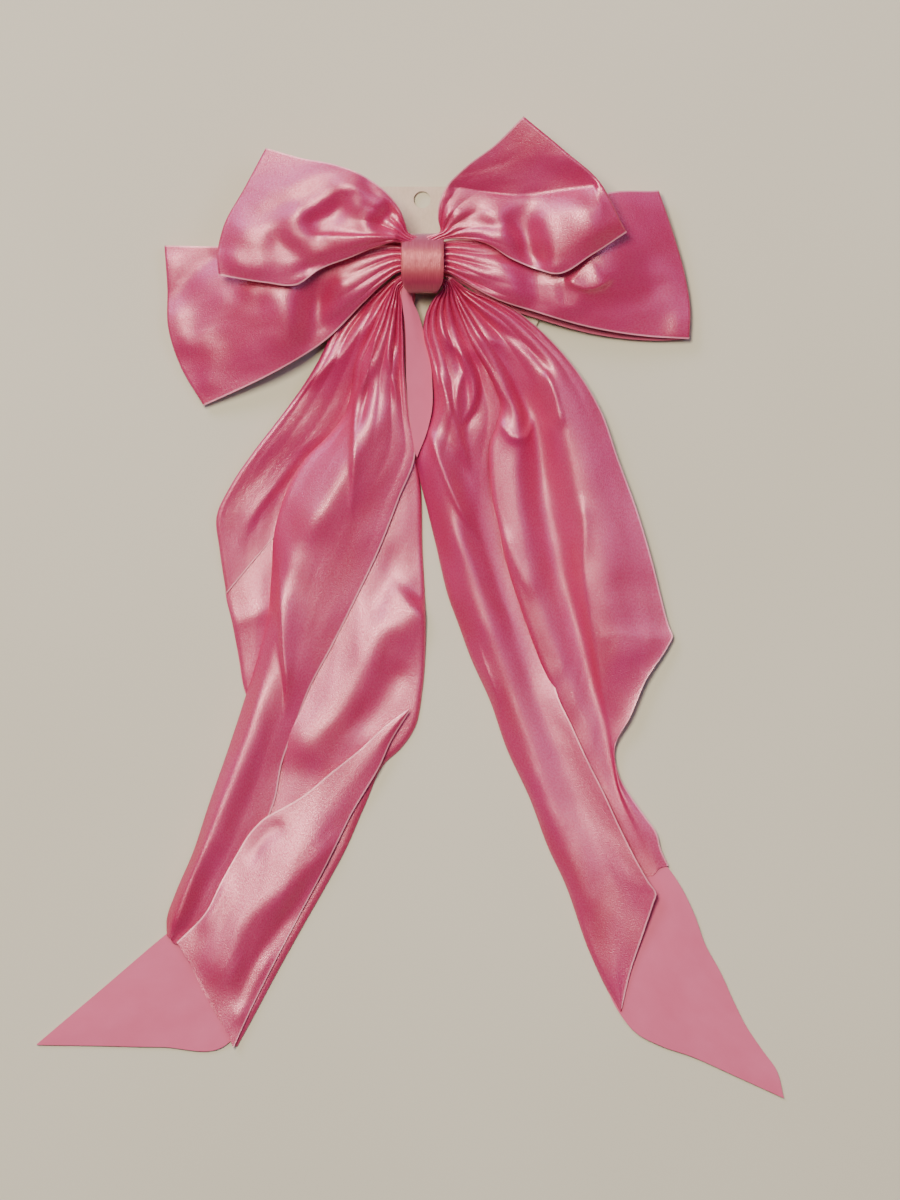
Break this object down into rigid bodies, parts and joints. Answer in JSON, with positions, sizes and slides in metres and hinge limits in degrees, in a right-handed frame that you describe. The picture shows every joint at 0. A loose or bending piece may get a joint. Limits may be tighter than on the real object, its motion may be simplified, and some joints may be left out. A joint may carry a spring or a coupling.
{
  "type": "ribbon bow",
  "caption": "Ready-made satin ribbon bow with layered loops and long folded tails, on a spring barrette clipped to a notched display card with a hang hole.",
  "frame": {"origin": "middle of the footprint, on the surface the bow lies on", "axes": "+Y runs up the bow from the tail ends to the loops, +X to the right seen from the front, +Z out of the front of the knot"},
  "size_m": [0.2624, 0.3437, 0.0324],
  "materials": {
    "pink_satin": "glossy satin face, matte reverse",
    "band_satin": "glossy satin ribbon",
    "pink_thread": "matte twisted thread",
    "plated_steel": "nickel-plated spring steel",
    "card_board": "smooth cream card"
  },
  "bodies": {
    "bow": {"upper_loop_ribbon": "pink_satin", "lower_loop_ribbon": "pink_satin", "tail_ribbon": "pink_satin", "wrap_band": "band_satin", "gathering_thread": "pink_thread", "base_plate": "plated_steel", "hinge_pin": "plated_steel", "catch": "plated_steel", "catch_rivet": "plated_steel"},
    "clasp_arm": {"clasp_arm": "plated_steel"},
    "tension_leaf": {"tension_leaf": "plated_steel"},
    "display_card": {"display_card": "card_board"}
  },
  "joints": [
    {"name": "clasp_hinge", "type": "hinge", "parent": "bow", "child": "clasp_arm", "pos_m": [-0.02425, 0.12175, 0.0022], "axis": [0, 1, 0], "range_deg": [0, 60]},
    {"name": "leaf_flex", "type": "slide", "parent": "bow", "child": "tension_leaf", "axis": [0, 0, 1], "range_m": [0, 0.001], "stiffness_N_per_m": 800, "deforming": ["tension_leaf"]},
    {"name": "card_slide", "type": "slide", "parent": "bow", "child": "display_card", "axis": [0, 1, 0], "range_m": [0, 0.06]}
  ]
}
